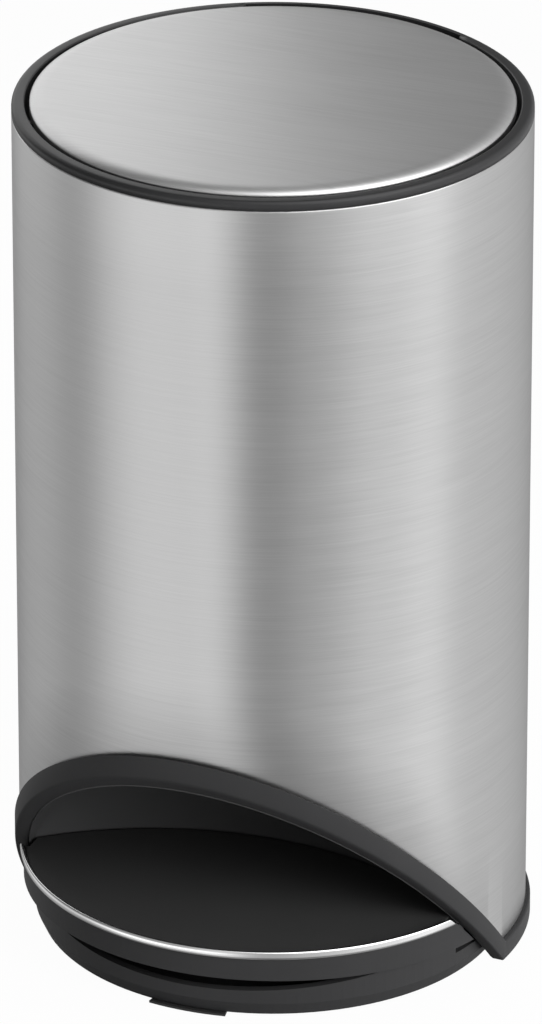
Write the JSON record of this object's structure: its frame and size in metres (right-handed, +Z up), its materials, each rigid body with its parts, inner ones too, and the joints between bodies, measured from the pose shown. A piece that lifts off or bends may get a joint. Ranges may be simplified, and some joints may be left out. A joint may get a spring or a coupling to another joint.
{
  "type": "pedal bin",
  "caption": "Round brushed steel pedal bin with a flush hinged lid, a dark collar, an oblique toe recess, a wide curved pedal and a lift-out inner bucket.",
  "frame": {"origin": "on the floor, under the centre of the round body", "axes": "+Z up, the pedal faces -Y, the lid's hinge is at the back, +Y, and turns about X"},
  "size_m": [0.1732, 0.1732, 0.2969],
  "materials": {
    "brushed_steel": "fine horizontal brushing, satin",
    "polished_steel": "polished",
    "zinc_plate": "dull zinc plating",
    "black_plastic": "matte moulded",
    "grey_plastic": "satin moulded",
    "bucket_plastic": "matte moulded",
    "black_rubber": "matte"
  },
  "bodies": {
    "bin_body": {"outer_shell": "brushed_steel", "top_collar": "grey_plastic", "lid_bumpers": "black_rubber", "hinge_bracket": "zinc_plate", "hinge_pin": "polished_steel", "bracket_screws": "polished_steel", "rod_rail": "black_plastic", "lower_housing": "black_plastic", "recess_liner": "black_plastic", "base_tray": "black_plastic", "base_screws": "polished_steel", "foot_pads": "black_rubber", "axle_bushes": "zinc_plate", "return_spring": "polished_steel", "inner_bucket": "bucket_plastic", "bucket_handle": "polished_steel", "handle_grip": "black_plastic"},
    "lid": {"lid_plate": "brushed_steel", "lid_frame": "black_plastic", "lift_tab": "zinc_plate"},
    "pedal": {"pedal_body": "black_plastic", "pedal_trim": "polished_steel", "pedal_pad": "black_rubber", "pedal_lever": "zinc_plate", "lever_rivets": "polished_steel", "pedal_axle": "polished_steel"},
    "rod": {"lift_rod": "polished_steel"}
  },
  "joints": [
    {"name": "lid_hinge", "type": "hinge", "parent": "bin_body", "child": "lid", "pos_m": [0, 0.074, 0.2939], "axis": [-1, 0, 0], "range_deg": [0, 75]},
    {"name": "pedal_pivot", "type": "hinge", "parent": "bin_body", "child": "pedal", "pos_m": [0, 0.009, 0.012], "axis": [1, 0, 0], "range_deg": [0, 7.4], "stiffness_Nm_per_rad": 1, "springref_deg": -3.44, "deforming": ["return_spring"]},
    {"name": "rod_slide", "type": "slide", "parent": "bin_body", "child": "rod", "axis": [0, 0, 1], "range_m": [0, 0.00723]}
  ],
  "couplings": [
    {"joint": "pedal_pivot", "follows": "lid_hinge", "ratio": 0.098657},
    {"joint": "rod_slide", "follows": "lid_hinge", "m_per_rad": 0.0055228}
  ]
}
